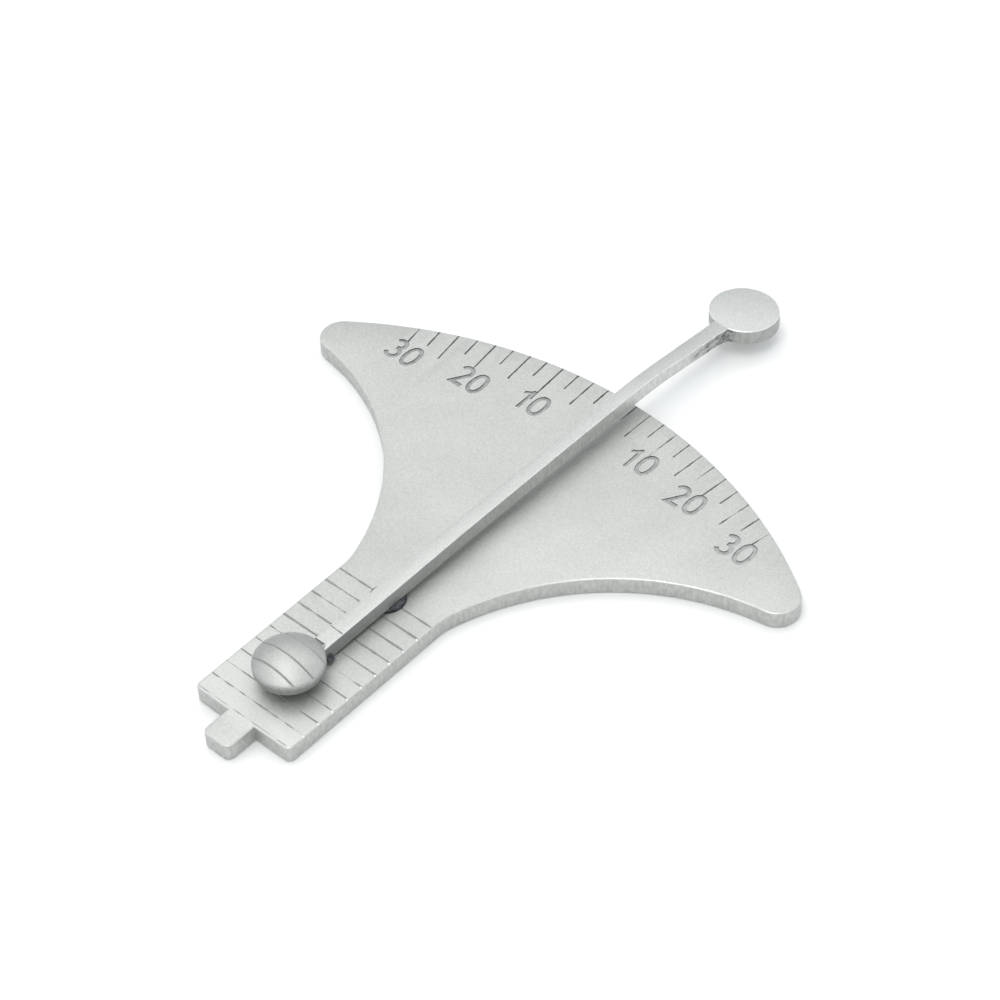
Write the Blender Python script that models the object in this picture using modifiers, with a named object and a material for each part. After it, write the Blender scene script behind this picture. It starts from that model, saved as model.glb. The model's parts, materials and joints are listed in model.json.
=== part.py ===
"""A small steel angle gauge: a fan-shaped plate with a ruled tail, and a pointer that swings over it on a rivet.

The plate lies flat on z = 0. +Y runs from the tail's tongue to the fan's arc, and +X is to the right seen from
above. The origin is under the middle of the whole gauge. Lengths at the top are in millimetres.
"""

import math

import bmesh
import bpy
from mathutils import Matrix, Vector

MM = 0.001

# The plate's outline, seen from above. Its y values are counted from the pivot.
PLATE_THICKNESS = 1.05
TAIL_HALF_WIDTH = 3.22
TAIL_END = -10.15
TAIL_CORNER = 0.35
TONGUE_HALF_WIDTH = 0.9
TONGUE_END = -11.95
TONGUE_CORNER = 0.4
SHOULDER_FILLET = 3.0
FAN_CENTRE_Y = -8.6
FAN_RADIUS = 27.1
FLANK_CENTRE = (16.97, -2.78)
FLANK_RADIUS = 14.2
WING_TIP_RADIUS = 1.23
PLATE_EDGE_ROUND = 0.08

# The pointer turns on a rivet a little to the right of the plate's centre line, and its bar lies off the rivet.
POINTER_ANGLE = math.radians(-1.3)
PIVOT_X = 0.17
BAR_OFFSET = 0.27

# The bar, as stations along it: half widths, slopes along the top, and how much thinner it is underneath.
BAR_END = -5.7
BAR_THICKNESS = 0.94
BAR_UNDERSIDE_AT_PIVOT = 0.25
BAR_HALF_WIDTHS = ((BAR_END, 0.47), (4.0, 0.43), (12.0, 0.40), (20.0, 0.41), (25.5, 0.49))
BAR_SLOPES = (
    (BAR_END, 0.035),
    (4.0, 0.035),
    (6.0, 0.015),
    (17.5, 0.015),
    (21.0, -0.11),
    (25.0, -0.11),
    (25.6, -0.085),
    (30.0, -0.085),
)
BAR_THINNING = ((17.5, 0.0), (21.0, 0.1), (24.6, 0.14), (25.4, 0.0))
BAR_FOLDS = (4.0, 5.0, 6.0, 17.5, 18.0, 18.5, 19.0, 19.5, 20.0, 20.5, 21.0, 24.6, 25.0, 25.4)
BAR_EDGE_ROUND = 0.05
DISC_CENTRE = (0.07, 27.28)
DISC_RADIUS = 1.92

# The domed button at the pointer's near end.
DOME_CENTRE = (0.08, -6.78)
DOME_RADIUS = 1.82
DOME_CROWN = 0.45
DOME_RIM_HEIGHT = 1.3
DOME_BOTTOM_HEIGHT = 0.3
DOME_TOP_ROUND = 0.15
DOME_BOTTOM_ROUND = 0.4
SLOT_GAP = 0.05

# The rivet. Its head sits in a counterbore under the plate, and a tenon on its end is brazed into the bar.
RIVET_RADIUS = 0.6
RIVET_HOLE_RADIUS = 0.65
RIVET_HEAD_RADIUS = 1.6
RIVET_HEAD_BOTTOM = 0.04
RIVET_HEAD_TOP = 0.32
TENON_RADIUS = 0.25
TENON_HOLE_RADIUS = 0.28
TENON_LENGTH = 0.5
COUNTERBORE_RADIUS = 1.7
COUNTERBORE_DEPTH = 0.45
RECESS_RADIUS = 1.05
RECESS_DEPTH = 0.2
WASHER_OUTER_RADIUS = 1.5
WASHER_BOTTOM = 0.35
WASHER_TOP = 0.42

# The filler metal of the two brazed joints.
PIVOT_BRAZE_RADIUS = 0.95
PIVOT_BRAZE_BORE = 0.63
BUTTON_BRAZE_SIZE = (0.16, 0.32, 0.2)
BUTTON_BRAZE_CENTRE = (0.92, -4.72)

TURNED_STEPS = 48
DISC_STEPS = 56
LONG_ARC_STEPS = 26
TIP_STEPS = 10
FILLET_STEPS = 4
CORNER_STEPS = 6
CUT_MARGIN = 0.5
DISC_REACH = DISC_CENTRE[1] + DISC_RADIUS
PIVOT_Y = -(DISC_REACH + TONGUE_END) / 2

STEEL = (0.60, 0.62, 0.60)
BRAZED_STEEL = (0.20, 0.21, 0.22)


def clear_scene():
    for item in list(bpy.data.objects):
        bpy.data.objects.remove(item, do_unlink=True)


def make_collection(name):
    collection = bpy.data.collections.new(name)
    bpy.context.scene.collection.children.link(collection)
    return collection


def make_material(name, colour, roughness):
    material = bpy.data.materials.new(name)
    material.use_nodes = True
    shader = material.node_tree.nodes["Principled BSDF"]
    shader.inputs["Base Color"].default_value = (*colour, 1)
    shader.inputs["Roughness"].default_value = roughness
    shader.inputs["Metallic"].default_value = 1
    return material


def add_object(name, mesh, collection, material=None):
    item = bpy.data.objects.new(name, mesh)
    collection.objects.link(item)
    if material:
        mesh.materials.append(material)
    return item


def arc(centre, radius, start, end, steps):
    """Points along an arc, from one angle to the other in radians, both ends included."""
    angles = [start + (end - start) * k / steps for k in range(steps + 1)]
    return [(centre[0] + radius * math.cos(a), centre[1] + radius * math.sin(a)) for a in angles]


def direction(start, end):
    """The angle of the line from one point to another."""
    return math.atan2(end[1] - start[1], end[0] - start[0])


def meeting_point(centre_a, reach_a, centre_b, reach_b):
    """The point at both distances from both centres that lies to the right of the line from a to b."""
    gap = math.dist(centre_a, centre_b)
    along = (gap**2 + reach_a**2 - reach_b**2) / (2 * gap)
    across = math.sqrt(reach_a**2 - along**2)
    heading = Vector((centre_b[0] - centre_a[0], centre_b[1] - centre_a[1])) / gap
    point = Vector(centre_a) + heading * along + Vector((-heading.y, heading.x)) * across
    return tuple(point)


def plate_half_outline():
    """The plate's right side, from the middle of the fan's arc down to the middle of the tongue's end."""
    fan_centre = (0, FAN_CENTRE_Y)
    tip = meeting_point(
        fan_centre, FAN_RADIUS - WING_TIP_RADIUS, FLANK_CENTRE, FLANK_RADIUS + WING_TIP_RADIUS
    )
    fillet_x = TAIL_HALF_WIDTH + SHOULDER_FILLET
    fillet_rise = math.sqrt((FLANK_RADIUS - SHOULDER_FILLET) ** 2 - (FLANK_CENTRE[0] - fillet_x) ** 2)
    fillet = (fillet_x, FLANK_CENTRE[1] + fillet_rise)
    quarter = math.pi / 2
    to_tip = direction(fan_centre, tip)
    tip_to_flank = direction(tip, FLANK_CENTRE)
    flank_to_tip = direction(FLANK_CENTRE, tip)
    flank_to_fillet = direction(FLANK_CENTRE, fillet)
    tail_corner = (TAIL_HALF_WIDTH - TAIL_CORNER, TAIL_END + TAIL_CORNER)
    tongue_corner = (TONGUE_HALF_WIDTH - TONGUE_CORNER, TONGUE_END + TONGUE_CORNER)
    outline = arc(fan_centre, FAN_RADIUS, quarter, to_tip, LONG_ARC_STEPS)
    outline += arc(tip, WING_TIP_RADIUS, to_tip, tip_to_flank, TIP_STEPS)[1:]
    outline += arc(FLANK_CENTRE, FLANK_RADIUS, flank_to_tip, flank_to_fillet, LONG_ARC_STEPS)[1:]
    outline += arc(fillet, SHOULDER_FILLET, flank_to_fillet, math.pi, FILLET_STEPS)[1:]
    outline += arc(tail_corner, TAIL_CORNER, 0, -quarter, CORNER_STEPS)
    outline.append((TONGUE_HALF_WIDTH, TAIL_END))
    outline += arc(tongue_corner, TONGUE_CORNER, 0, -quarter, CORNER_STEPS)
    return outline


def mirrored(half):
    """A closed outline from its right half, whose first point may lie on the mirror line."""
    left = [(-x, y) for x, y in reversed(half) if abs(x) > 1e-6]
    return half + left


def between(stations, s):
    """The value at a distance s along the pointer, in line between the (distance, value) stations."""
    for (s0, value0), (s1, value1) in zip(stations, stations[1:]):
        if s0 <= s <= s1:
            return value0 + (value1 - value0) * (s - s0) / (s1 - s0)
    return stations[0][1] if s < stations[0][0] else stations[-1][1]


def bar_rise(s):
    """Height of the pointer at a distance s along it, above its height at the pivot."""
    rise = BAR_SLOPES[0][0] * BAR_SLOPES[0][1]
    for (s0, slope0), (s1, slope1) in zip(BAR_SLOPES, BAR_SLOPES[1:]):
        reach = min(s, s1) - s0
        if reach > 0:
            rise += reach * (slope0 + (slope1 - slope0) * reach / (s1 - s0) / 2)
    return rise


def arm_outline():
    """The bar and its disc, flat, along +Y, with the bar's middle on x = 0."""
    neck = BAR_HALF_WIDTHS[-1][1]
    right_neck = math.asin((neck - DISC_CENTRE[0]) / DISC_RADIUS)
    left_neck = math.asin((neck + DISC_CENTRE[0]) / DISC_RADIUS)
    disc = arc(DISC_CENTRE, DISC_RADIUS, -math.pi / 2 + right_neck, 1.5 * math.pi - left_neck, DISC_STEPS)
    right = [(half_width, s) for s, half_width in BAR_HALF_WIDTHS[:-1]]
    left = [(-x, s) for x, s in reversed(right)]
    return right + disc + left


def flat_mesh(name, outline, thickness):
    """A closed plate of that outline, standing on z = 0. Each broad side is one face."""
    curve = bpy.data.curves.new(name, "CURVE")
    curve.dimensions = "2D"
    curve.fill_mode = "BOTH"
    curve.extrude = thickness * MM / 2
    spline = curve.splines.new("POLY")
    spline.points.add(len(outline) - 1)
    for point, (x, y) in zip(spline.points, outline):
        point.co = (x * MM, y * MM, 0, 1)
    spline.use_cyclic_u = True
    source = bpy.data.objects.new(name, curve)
    bpy.context.scene.collection.objects.link(source)
    evaluated = source.evaluated_get(bpy.context.evaluated_depsgraph_get())
    mesh = bpy.data.meshes.new_from_object(evaluated)
    bpy.data.objects.remove(source)
    shape = bmesh.new()
    shape.from_mesh(mesh)
    bmesh.ops.remove_doubles(shape, verts=shape.verts, dist=0.002 * MM)
    bmesh.ops.translate(shape, verts=shape.verts, vec=(0, 0, thickness * MM / 2))
    for height in (0, thickness * MM):
        cap = [face for face in shape.faces if all(abs(v.co.z - height) < 1e-7 for v in face.verts)]
        bmesh.ops.dissolve_faces(shape, faces=cap)
    bmesh.ops.recalc_face_normals(shape, faces=shape.faces)
    shape.to_mesh(mesh)
    shape.free()
    return mesh


def turned_object(name, profile, collection, material=None, is_ring=False):
    """A solid turned about Z from (radius, height) points that run down its outer side.

    A ring's profile closes on itself. Any other profile starts and ends on the axis.
    """
    mesh = bpy.data.meshes.new(name)
    shape = bmesh.new()
    points = [shape.verts.new((r * MM, 0, z * MM)) for r, z in profile]
    for upper, lower in zip(points, points[1:]):
        shape.edges.new((upper, lower))
    if is_ring:
        shape.edges.new((points[-1], points[0]))
    shape.to_mesh(mesh)
    shape.free()
    item = add_object(name, mesh, collection, material)
    screw = item.modifiers.new("turn", "SCREW")
    screw.steps = TURNED_STEPS
    screw.render_steps = TURNED_STEPS
    screw.use_merge_vertices = True
    screw.merge_threshold = 0.001 * MM
    screw.use_smooth_shade = True
    return item


def ring_profile(inner, outer, bottom, top):
    """A closed profile for a flat ring."""
    return [(inner, top), (outer, top), (outer, bottom), (inner, bottom)]


def round_edges(item, width, segments=2):
    bevel = item.modifiers.new("round_edges", "BEVEL")
    bevel.width = width * MM
    bevel.segments = segments
    bevel.limit_method = "ANGLE"
    bevel.angle_limit = math.radians(50)


def cut(item, tool, operation="DIFFERENCE"):
    boolean = item.modifiers.new(tool.name, "BOOLEAN")
    boolean.operation = operation
    boolean.solver = "EXACT"
    boolean.object = tool


def as_cutter(item):
    item.hide_render = True
    item.display_type = "WIRE"
    return item


def place(item, x, y, z, parent=None):
    item.location = (x * MM, y * MM, z * MM)
    item.parent = parent


def build_plate(parts, cutters, steel):
    mesh = flat_mesh("scale_plate", mirrored(plate_half_outline()), PLATE_THICKNESS)
    plate = add_object("scale_plate", mesh, parts, steel)
    place(plate, 0, PIVOT_Y, 0)
    round_edges(plate, PLATE_EDGE_ROUND)
    recess_floor = PLATE_THICKNESS - RECESS_DEPTH
    profile = [
        (0, PLATE_THICKNESS + CUT_MARGIN),
        (RECESS_RADIUS, PLATE_THICKNESS + CUT_MARGIN),
        (RECESS_RADIUS, recess_floor),
        (RIVET_HOLE_RADIUS, recess_floor),
        (RIVET_HOLE_RADIUS, COUNTERBORE_DEPTH),
        (COUNTERBORE_RADIUS, COUNTERBORE_DEPTH),
        (COUNTERBORE_RADIUS, -CUT_MARGIN),
        (0, -CUT_MARGIN),
    ]
    bore = as_cutter(turned_object("rivet_bore", profile, cutters))
    place(bore, PIVOT_X, PIVOT_Y, 0)
    cut(plate, bore)


def build_washer(parts, steel):
    profile = ring_profile(RIVET_HOLE_RADIUS, WASHER_OUTER_RADIUS, WASHER_BOTTOM, WASHER_TOP)
    washer = turned_object("friction_washer", profile, parts, steel, is_ring=True)
    place(washer, PIVOT_X, PIVOT_Y, 0)


def pin_profile(radius, top, bottom):
    return [(0, top), (radius, top), (radius, bottom), (0, bottom)]


def build_rivet(parts, cutters, pivot, steel):
    """The rivet's head, its shank up to just under the bar, and the tenon that is brazed into the bar."""
    shoulder = PLATE_THICKNESS + BAR_UNDERSIDE_AT_PIVOT - SLOT_GAP
    profile = [
        (0, shoulder),
        (RIVET_RADIUS, shoulder),
        (RIVET_RADIUS, RIVET_HEAD_TOP),
        (RIVET_HEAD_RADIUS, RIVET_HEAD_TOP),
        (RIVET_HEAD_RADIUS, RIVET_HEAD_BOTTOM),
        (0, RIVET_HEAD_BOTTOM),
    ]
    rivet = turned_object("pivot_rivet", profile, parts, steel)
    place(rivet, 0, 0, 0, pivot)
    tenon_top = PLATE_THICKNESS + BAR_UNDERSIDE_AT_PIVOT + TENON_LENGTH
    tenon = as_cutter(turned_object("tenon", pin_profile(TENON_RADIUS, tenon_top, RIVET_HEAD_TOP), cutters))
    place(tenon, BAR_OFFSET, 0, 0, pivot)
    cut(rivet, tenon, "UNION")


def build_pivot_braze(parts, pivot, braze):
    bottom = PLATE_THICKNESS - RECESS_DEPTH + SLOT_GAP
    top = PLATE_THICKNESS + BAR_UNDERSIDE_AT_PIVOT - SLOT_GAP
    bead_radius = (top - bottom) / 2
    bead_centre = (PIVOT_BRAZE_RADIUS - bead_radius, (top + bottom) / 2)
    profile = [(PIVOT_BRAZE_BORE, top)]
    profile += arc(bead_centre, bead_radius, math.pi / 2, -math.pi / 2, 8)
    profile.append((PIVOT_BRAZE_BORE, bottom))
    ring = turned_object("pivot_braze", profile, parts, braze, is_ring=True)
    place(ring, 0, 0, 0, pivot)


def build_arm(parts, cutters, pivot, steel):
    """The bar and disc are cut as one flat outline, then bent along their length."""
    mesh = flat_mesh("pointer_arm", arm_outline(), BAR_THICKNESS)
    shape = bmesh.new()
    shape.from_mesh(mesh)
    for fold in BAR_FOLDS:
        geometry = shape.verts[:] + shape.edges[:] + shape.faces[:]
        bmesh.ops.bisect_plane(
            shape, geom=geometry, dist=1e-7, plane_co=(0, fold * MM, 0), plane_no=(0, 1, 0)
        )
    for vertex in shape.verts:
        s = vertex.co.y / MM
        if vertex.co.z < BAR_THICKNESS * MM / 2:
            vertex.co.z += between(BAR_THINNING, s) * MM
        vertex.co.z += bar_rise(s) * MM
    shape.to_mesh(mesh)
    shape.free()
    underside = PLATE_THICKNESS + BAR_UNDERSIDE_AT_PIVOT
    arm = add_object("pointer_arm", mesh, parts, steel)
    place(arm, BAR_OFFSET, 0, underside, pivot)
    round_edges(arm, BAR_EDGE_ROUND)
    profile = pin_profile(TENON_HOLE_RADIUS, TENON_LENGTH + SLOT_GAP, -CUT_MARGIN)
    hole = as_cutter(turned_object("tenon_hole", profile, cutters))
    place(hole, BAR_OFFSET, 0, underside, pivot)
    cut(arm, hole)


def dome_profile():
    """Crown, rounded rim, straight side and a well-rounded lower edge, as (radius, height above the plate)."""
    crown_reach = DOME_RADIUS - DOME_TOP_ROUND
    sphere = (crown_reach**2 + DOME_CROWN**2) / (2 * DOME_CROWN)
    lean = math.asin(crown_reach / sphere)
    crown_top = DOME_RIM_HEIGHT + DOME_CROWN
    profile = arc((0, crown_top - sphere), sphere, math.pi / 2, math.pi / 2 - lean, 10)
    profile += arc((crown_reach, DOME_RIM_HEIGHT - DOME_TOP_ROUND), DOME_TOP_ROUND, math.pi / 2, 0, 4)[1:]
    low = (DOME_RADIUS - DOME_BOTTOM_ROUND, DOME_BOTTOM_HEIGHT + DOME_BOTTOM_ROUND)
    profile += arc(low, DOME_BOTTOM_ROUND, 0, -math.pi / 2, 6)
    profile += [(0, DOME_BOTTOM_HEIGHT)]
    return profile


def build_dome(parts, cutters, pivot, steel):
    """The button, with the slot in its underside that takes the bar's end."""
    dome = turned_object("dome_button", dome_profile(), parts, steel)
    place(dome, DOME_CENTRE[0], DOME_CENTRE[1], PLATE_THICKNESS, pivot)
    mesh = bpy.data.meshes.new("bar_slot")
    shape = bmesh.new()
    bmesh.ops.create_cube(shape, size=1)
    roof = BAR_UNDERSIDE_AT_PIVOT + BAR_THICKNESS + bar_rise(DOME_CENTRE[1] + DOME_RADIUS) + SLOT_GAP
    width = 2 * (BAR_HALF_WIDTHS[0][1] + SLOT_GAP)
    size = (width, DOME_RADIUS * 2, roof + CUT_MARGIN)
    bmesh.ops.scale(shape, verts=shape.verts, vec=[side * MM for side in size])
    shape.to_mesh(mesh)
    shape.free()
    slot = as_cutter(add_object("bar_slot", mesh, cutters))
    middle = BAR_END - SLOT_GAP + DOME_RADIUS
    place(slot, BAR_OFFSET, middle, PLATE_THICKNESS + (roof - CUT_MARGIN) / 2, pivot)
    cut(dome, slot)


def build_button_braze(parts, pivot, braze):
    """A bead of filler in the corner between the bar's side and the button's edge."""
    mesh = bpy.data.meshes.new("button_braze")
    shape = bmesh.new()
    bmesh.ops.create_uvsphere(shape, u_segments=16, v_segments=10, radius=1)
    bmesh.ops.scale(shape, verts=shape.verts, vec=[side * MM for side in BUTTON_BRAZE_SIZE])
    shape.to_mesh(mesh)
    shape.free()
    bead = add_object("button_braze", mesh, parts, braze)
    place(bead, *BUTTON_BRAZE_CENTRE, PLATE_THICKNESS + BUTTON_BRAZE_SIZE[2] + SLOT_GAP, pivot)


def main():
    clear_scene()
    parts = make_collection("angle_gauge")
    cutters = make_collection("cutters")
    steel = make_material("blasted_steel", STEEL, 0.5)
    braze = make_material("braze", BRAZED_STEEL, 0.75)
    pivot = bpy.data.objects.new("pivot_axis", None)
    parts.objects.link(pivot)
    place(pivot, PIVOT_X, PIVOT_Y, 0)
    pivot.rotation_euler.z = POINTER_ANGLE
    build_plate(parts, cutters, steel)
    build_washer(parts, steel)
    build_rivet(parts, cutters, pivot, steel)
    build_pivot_braze(parts, pivot, braze)
    build_arm(parts, cutters, pivot, steel)
    build_dome(parts, cutters, pivot, steel)
    build_button_braze(parts, pivot, braze)


main()
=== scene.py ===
import json
import math

import bmesh
import bpy
from mathutils import Matrix, Vector, noise


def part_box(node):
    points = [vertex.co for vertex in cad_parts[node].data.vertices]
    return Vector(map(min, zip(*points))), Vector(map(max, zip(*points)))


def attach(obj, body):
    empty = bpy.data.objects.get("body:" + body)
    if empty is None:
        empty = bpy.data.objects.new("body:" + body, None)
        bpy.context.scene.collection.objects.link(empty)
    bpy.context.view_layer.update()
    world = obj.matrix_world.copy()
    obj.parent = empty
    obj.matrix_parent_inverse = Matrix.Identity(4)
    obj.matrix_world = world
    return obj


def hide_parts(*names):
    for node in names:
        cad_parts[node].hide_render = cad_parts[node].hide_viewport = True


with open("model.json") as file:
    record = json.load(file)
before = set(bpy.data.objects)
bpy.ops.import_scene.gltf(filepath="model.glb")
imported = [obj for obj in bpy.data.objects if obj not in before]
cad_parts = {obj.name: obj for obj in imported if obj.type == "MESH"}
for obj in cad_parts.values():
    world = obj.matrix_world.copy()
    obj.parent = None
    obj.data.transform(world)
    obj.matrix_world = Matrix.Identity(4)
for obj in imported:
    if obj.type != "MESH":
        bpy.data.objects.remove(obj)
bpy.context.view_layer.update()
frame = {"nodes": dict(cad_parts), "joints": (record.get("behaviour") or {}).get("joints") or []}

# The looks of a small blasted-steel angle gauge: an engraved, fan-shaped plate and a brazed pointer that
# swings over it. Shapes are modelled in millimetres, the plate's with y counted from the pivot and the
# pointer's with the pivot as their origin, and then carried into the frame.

MM = 0.001
PIVOT = Vector(frame["joints"][0]["pos_m"]) / MM

# The plate's outline. Its top is read from the frame.
PLATE_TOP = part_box("scale_plate")[1].z / MM
TAIL_HALF_WIDTH = 3.22
TAIL_END = -10.15
TAIL_CORNER = 0.35
TONGUE_HALF_WIDTH = 0.9
TONGUE_END = -11.95
TONGUE_CORNER = 0.4
SHOULDER_FILLET = 3.0
FAN_CENTRE_Y = -8.6
FAN_RADIUS = 27.1
FLANK_CENTRE = (16.97, -2.78)
FLANK_RADIUS = 14.2
WING_TIP_RADIUS = 1.23
PLATE_EDGE_ROUND = 0.12

# The ruler on the tail, whose lines are a millimetre apart. The first one is level with the pivot.
STRONG_LINES = 5
WEAK_LINES = 5
# The depth and wear of a strong line, of a weak one and of the last one, by the tongue.
RULER_CUTS = ((0.043, 0.35), (0.029, 0.8), (0.015, 0.8))
LINE_OPENNESS = 1.7
# The lines' cutters reach past the tail's edges, the first one's a little further.
LINE_OVERRUN = 0.3
FIRST_LINE_EXTRA = 0.4
EDGE_BURR_RADIUS = 0.075
EDGE_BURR_SHIFT = -0.06
EDGE_BURR_WANDER = 0.03

# The degree scale. Left is -1 and right is 1. Each side's ticks have their own depth and wear, and each
# side's long ticks, at 10, 20 and 30 degrees, have their own lengths.
TICKS_PER_SIDE = 12
TICK_CUTS = {-1: (0.05, 0.25), 1: (0.043, 0.42)}
TICK_PITCH = 0.972
TICK_PITCH_GROWTH = 0.0027
TICK_LEAN = math.radians(0.85)
TICK_OVERRUN = 0.3
SHORT_TICK = 1.35
MIDDLE_TICK = 2.15
LONG_TICKS = {-1: (2.95, 2.15, 1.6), 1: (2.2, 1.95, 2.1)}

# Each number and its middle.
LABELS = (
    ("30", -11.39, 13.67),
    ("20", -7.22, 14.36),
    ("10", -3.58, 15.14),
    ("10", 3.64, 15.38),
    ("20", 7.33, 14.76),
    ("30", 11.45, 13.67),
)
DIGIT_HALF_HEIGHT = 0.775
# Half the height between the middles of a digit's top and bottom strokes.
DIGIT_MIDLINE = 0.675
DIGIT_STROKE = 0.245
DIGIT_DEPTH = 0.055
DIGIT_SPACING = 0.53
ZERO_HALF_WIDTH = 0.36
TWO_BOWL_RADIUS = 0.325
THREE_BOWL_RADII = (0.3, 0.37)
THREE_BOWL_X = -0.04

# The pocket round the rivet, and the counterbore under the plate.
RECESS_RADIUS = 1.0
RECESS_DEPTH = 0.2
RIVET_HOLE_RADIUS = 0.65
COUNTERBORE_RADIUS = 1.7
COUNTERBORE_DEPTH = 0.45

# The pointer. Its stations pair a distance along the bar with a half width, a slope or a loss of thickness.
POINTER_ANGLE = math.radians(-1.3)
BAR_OFFSET = 0.27
BAR_END = -5.7
BAR_THICKNESS = 0.94
BAR_UNDERSIDE_AT_PIVOT = 0.25
BAR_HALF_WIDTHS = ((BAR_END, 0.47), (4.0, 0.43), (12.0, 0.40), (20.0, 0.41), (25.5, 0.49))
BAR_SLOPES = (
    (BAR_END, 0.035),
    (4.0, 0.035),
    (6.0, 0.015),
    (17.5, 0.015),
    (21.0, -0.11),
    (25.0, -0.11),
    (25.6, -0.085),
    (30.0, -0.085),
)
BAR_THINNING = ((17.5, 0.0), (21.0, 0.1), (24.6, 0.14), (25.4, 0.0))
BAR_EDGE_ROUND = 0.08
# Where the bar is divided so that it can bend.
BAR_BEND_CUTS = [4.0, 5.0, 6.0] + [17.5 + 0.25 * k for k in range(12)]
# Each mark across the bar: its place along it, its two ends across it, and its depth.
BAR_MARKS = ((-3.72, -0.55, 0.55, 0.035), (-4.8, -0.55, 0.24, 0.085))
DISC_CENTRE = (0.07, 27.28)
DISC_RADIUS = 1.92

# The rough stretch of the bar's sides by the disc: its ends, its mesh, and how softly it starts and stops.
ROUGH_FROM = 22.3
ROUGH_TO = 25.5
ROUGH_STEP = 0.07
ROUGH_LEVELS = (0.2, 0.36, 0.52, 0.68, 0.82)
ROUGH_FADE_IN = 2.5
ROUGH_FADE_OUT = 0.3
ROUGH_HEIGHT = 0.06

# The button. Its heights are counted from the plate's top, before the lift.
DOME_CENTRE = (0.05, -6.75)
DOME_RADIUS = 1.84
DOME_LIFT = 0.06
DOME_CROWN = 0.45
DOME_RIM_HEIGHT = 1.3
DOME_BOTTOM_HEIGHT = 0.3
DOME_TOP_ROUND = 0.22
DOME_BOTTOM_ROUND = 0.68
# Each groove across the button: its distance from the middle, its half width and its depth.
DOME_GROOVES = ((1.05, 0.07, 0.06), (-0.07, 0.055, 0.037), (-1.06, 0.055, 0.037))
# The grooves end between these two distances below the rim, and pull the rim in by this share.
DOME_GROOVE_RUNOUT = (0.12, 0.02)
DOME_GROOVE_NOTCH = 0.02

# The filler metal: the ring in the pocket, and the bead and the fillet between the bar and the button.
RING_INNER_RADIUS = 0.64
RING_MIDDLE_RADIUS = 0.74
RING_FLOOR_GAP = 0.05
RING_ROOF_GAP = 0.06
BEAD_CENTRE = (0.84, -4.76, 0.24)
BEAD_RADII = (0.16, 0.24, 0.11)
FILLET_CENTRE = (0.5, -5.12, 0.85)
FILLET_RADII = (0.25, 0.46, 0.27)

# The camera, counted from the point on the plate's top that it looks at.
CAMERA_TARGET = (-0.048, 8.695)
CAMERA_AZIMUTH = math.radians(44.07)
CAMERA_ELEVATION = math.radians(45.87)
CAMERA_ROLL = math.radians(-3.29)
CAMERA_DISTANCE = 155.08
CAMERA_LENS = 108.88
CAMERA_SENSOR = 36

# Each lamp's name, place and size in metres, and power.
LAMPS = (
    ("softbox", (-0.48, 0.12, 1.1), 0.8, 2.3),
    ("back_lamp", (-0.05, 0.45, 0.6), 0.3, 0.25),
    ("near_lamp", (0.02, -0.1, 0.36), 0.18, 0.25),
)
LAMP_COLOUR = (1.0, 0.98, 0.94)
ROOM_COLOUR = (0.95, 0.985, 1.0, 1)
# The room's strength at the horizon and above it, and how high it stops growing, as the direction's Z.
ROOM_STRENGTHS = (0.35, 1.03)
ROOM_FADE_TOP = 0.42
FLOOR_DEPTH = 0.02

PLATE_COLOUR = (0.53, 0.535, 0.52)
BAR_COLOUR = (0.535, 0.54, 0.528)
# The disc's steel is painted lighter than the bar's: painted light on the tilted disc.
LIT_DISC_COLOUR = (0.605, 0.61, 0.595)
# The button's steel is painted darker: painted shade that tones down its highlight.
SHADED_DOME_COLOUR = (0.475, 0.48, 0.466)
# The burrs' near-white steel is a painted glint.
GLINT_COLOUR = (0.93, 0.93, 0.92)
ENGRAVING_TINT = (0.98, 1.0, 0.98)

PLATE_FRAME = Matrix.Scale(MM, 4) @ Matrix.Translation((0, PIVOT.y, 0))
POINTER_FRAME = Matrix.Scale(MM, 4) @ Matrix.Translation(PIVOT) @ Matrix.Rotation(POINTER_ANGLE, 4, "Z")


# ---------------------------------------------------------------- outlines

def arc(centre, radius, start, end, steps):
    """Points along an arc, from one angle to the other in radians, both ends included."""
    angles = [start + (end - start) * k / steps for k in range(steps + 1)]
    return [(centre[0] + radius * math.cos(a), centre[1] + radius * math.sin(a)) for a in angles]


def direction(start, end):
    return math.atan2(end[1] - start[1], end[0] - start[0])


def meeting_point(centre_a, reach_a, centre_b, reach_b):
    """The point at both distances from both centres that lies to the left of the line from a to b."""
    gap = math.dist(centre_a, centre_b)
    along = (gap**2 + reach_a**2 - reach_b**2) / (2 * gap)
    across = math.sqrt(reach_a**2 - along**2)
    heading = Vector((centre_b[0] - centre_a[0], centre_b[1] - centre_a[1])) / gap
    return tuple(Vector(centre_a) + heading * along + Vector((-heading.y, heading.x)) * across)


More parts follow.
